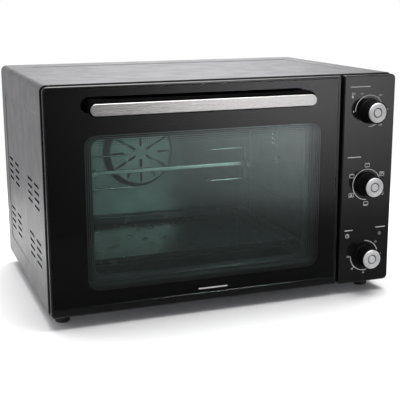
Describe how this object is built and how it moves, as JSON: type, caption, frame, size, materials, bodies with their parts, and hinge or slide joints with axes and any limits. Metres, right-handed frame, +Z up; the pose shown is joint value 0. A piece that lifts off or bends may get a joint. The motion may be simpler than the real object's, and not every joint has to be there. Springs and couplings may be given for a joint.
{
  "type": "countertop convection oven",
  "caption": "Black countertop oven with a drop-down glass door, a bar handle, a rotating spit, a fan, a baking tray and a column of control knobs.",
  "frame": {"origin": "centre of the bounding box at the plane of the feet", "axes": "+X to the right seen from the front, +Y to the back, +Z up"},
  "size_m": [0.59, 0.444, 0.376],
  "materials": {
    "casing_paint": "satin black baked paint",
    "frame_paint": "satin black paint",
    "zinc_steel": "zinc-plated sheet",
    "rubber": "matt",
    "foot_rubber": "matt",
    "liner_steel": "aluminised steel, half-shiny",
    "heater_steel": "dulled by heat",
    "tray_enamel": "dark enamel, gloss",
    "crumb_tray_aluminium": "rolled sheet",
    "fan_aluminium": "stamped",
    "motor_steel": "plain",
    "lamp_glass": "clear bulb, lit",
    "spit_steel": "plated",
    "door_plastic": "gloss black",
    "door_glass": "black print on the back with a clear window and a dotted edge",
    "door_panel_steel": "dark grey",
    "inner_glass": "clear, faint green",
    "handle_plastic": "gloss black",
    "brushed_steel": "brushed along its length",
    "pin_steel": "plain",
    "panel_plastic": "gloss black with light grey dial marks",
    "control_body": "cream phenolic and steel",
    "knob_plastic": "satin black",
    "knob_cap": "spun, with a fine ring",
    "lens": "clear lens"
  },
  "bodies": {
    "oven": {"outer_casing": "casing_paint", "rear_cover": "casing_paint", "base_plate": "zinc_steel", "front_frame": "frame_paint", "heat_shield": "zinc_steel", "cord_gland": "rubber", "foot_front_left": "foot_rubber", "foot_front_right": "foot_rubber", "foot_rear_left": "foot_rubber", "foot_rear_right": "foot_rubber", "cavity_liner": "liner_steel", "rack_rail_left": "liner_steel", "rack_rail_right": "liner_steel", "lower_front_heater": "heater_steel", "lower_rear_heater": "heater_steel", "upper_front_heater": "heater_steel", "upper_rear_heater": "heater_steel", "crumb_tray": "crumb_tray_aluminium", "fan_guard": "liner_steel", "fan_motor": "motor_steel", "oven_lamp": "lamp_glass", "lamp_cover": "liner_steel", "spit_motor": "motor_steel", "spit_support": "zinc_steel", "hinge_bracket_left": "zinc_steel", "hinge_bracket_right": "zinc_steel", "control_panel": "panel_plastic", "thermostat": "control_body", "function_switch": "control_body", "timer": "control_body", "indicator_lens": "lens", "indicator_lamp": "lamp_glass"},
    "door": {"door_frame": "door_plastic", "door_glass": "door_glass", "door_inner_panel": "door_panel_steel", "inner_glass": "inner_glass", "handle_bar": "handle_plastic", "handle_trim": "brushed_steel", "hinge_pin_left": "pin_steel", "hinge_pin_right": "pin_steel"},
    "temperature_control": {"temperature_shaft": "pin_steel", "temperature_knob": "knob_plastic", "temperature_knob_cap": "knob_cap"},
    "function_control": {"function_shaft": "pin_steel", "function_knob": "knob_plastic", "function_knob_cap": "knob_cap"},
    "timer_control": {"timer_shaft": "pin_steel", "timer_knob": "knob_plastic", "timer_knob_cap": "knob_cap"},
    "spit": {"spit_socket": "spit_steel", "spit_rod": "spit_steel", "spit_fork_left": "spit_steel", "spit_fork_right": "spit_steel", "fork_screw_left": "spit_steel", "fork_screw_right": "spit_steel"},
    "fan": {"convection_fan": "fan_aluminium"},
    "tray": {"baking_tray": "tray_enamel"}
  },
  "joints": [
    {"name": "door_hinge", "type": "hinge", "parent": "oven", "child": "door", "pos_m": [-0.05, -0.1845, 0.0255], "axis": [1, 0, 0], "range_deg": [0, 85], "stiffness_Nm_per_rad": 1.3, "springref_deg": -44.98},
    {"name": "temperature_turn", "type": "hinge", "parent": "oven", "child": "temperature_control", "pos_m": [0.2474, -0.19, 0.3144], "axis": [0, 1, 0], "range_deg": [0, 270]},
    {"name": "function_turn", "type": "hinge", "parent": "oven", "child": "function_control", "pos_m": [0.2474, -0.19, 0.1902], "axis": [0, 1, 0], "range_deg": [-180, 120]},
    {"name": "timer_turn", "type": "hinge", "parent": "oven", "child": "timer_control", "pos_m": [0.2474, -0.19, 0.0662], "axis": [0, 1, 0], "range_deg": [0, 270]},
    {"name": "spit_spin", "type": "hinge", "parent": "oven", "child": "spit", "pos_m": [-0.05, -0.018, 0.208], "axis": [1, 0, 0], "continuous": true},
    {"name": "fan_spin", "type": "hinge", "parent": "oven", "child": "fan", "pos_m": [-0.05, 0.155, 0.209], "axis": [0, 1, 0], "continuous": true},
    {"name": "tray_slide", "type": "slide", "parent": "oven", "child": "tray", "axis": [0, -1, 0], "range_m": [0, 0.112]}
  ],
  "couplings": [
    {"joint": "tray_slide", "follows": "door_hinge", "m_per_rad": 0.075}
  ]
}
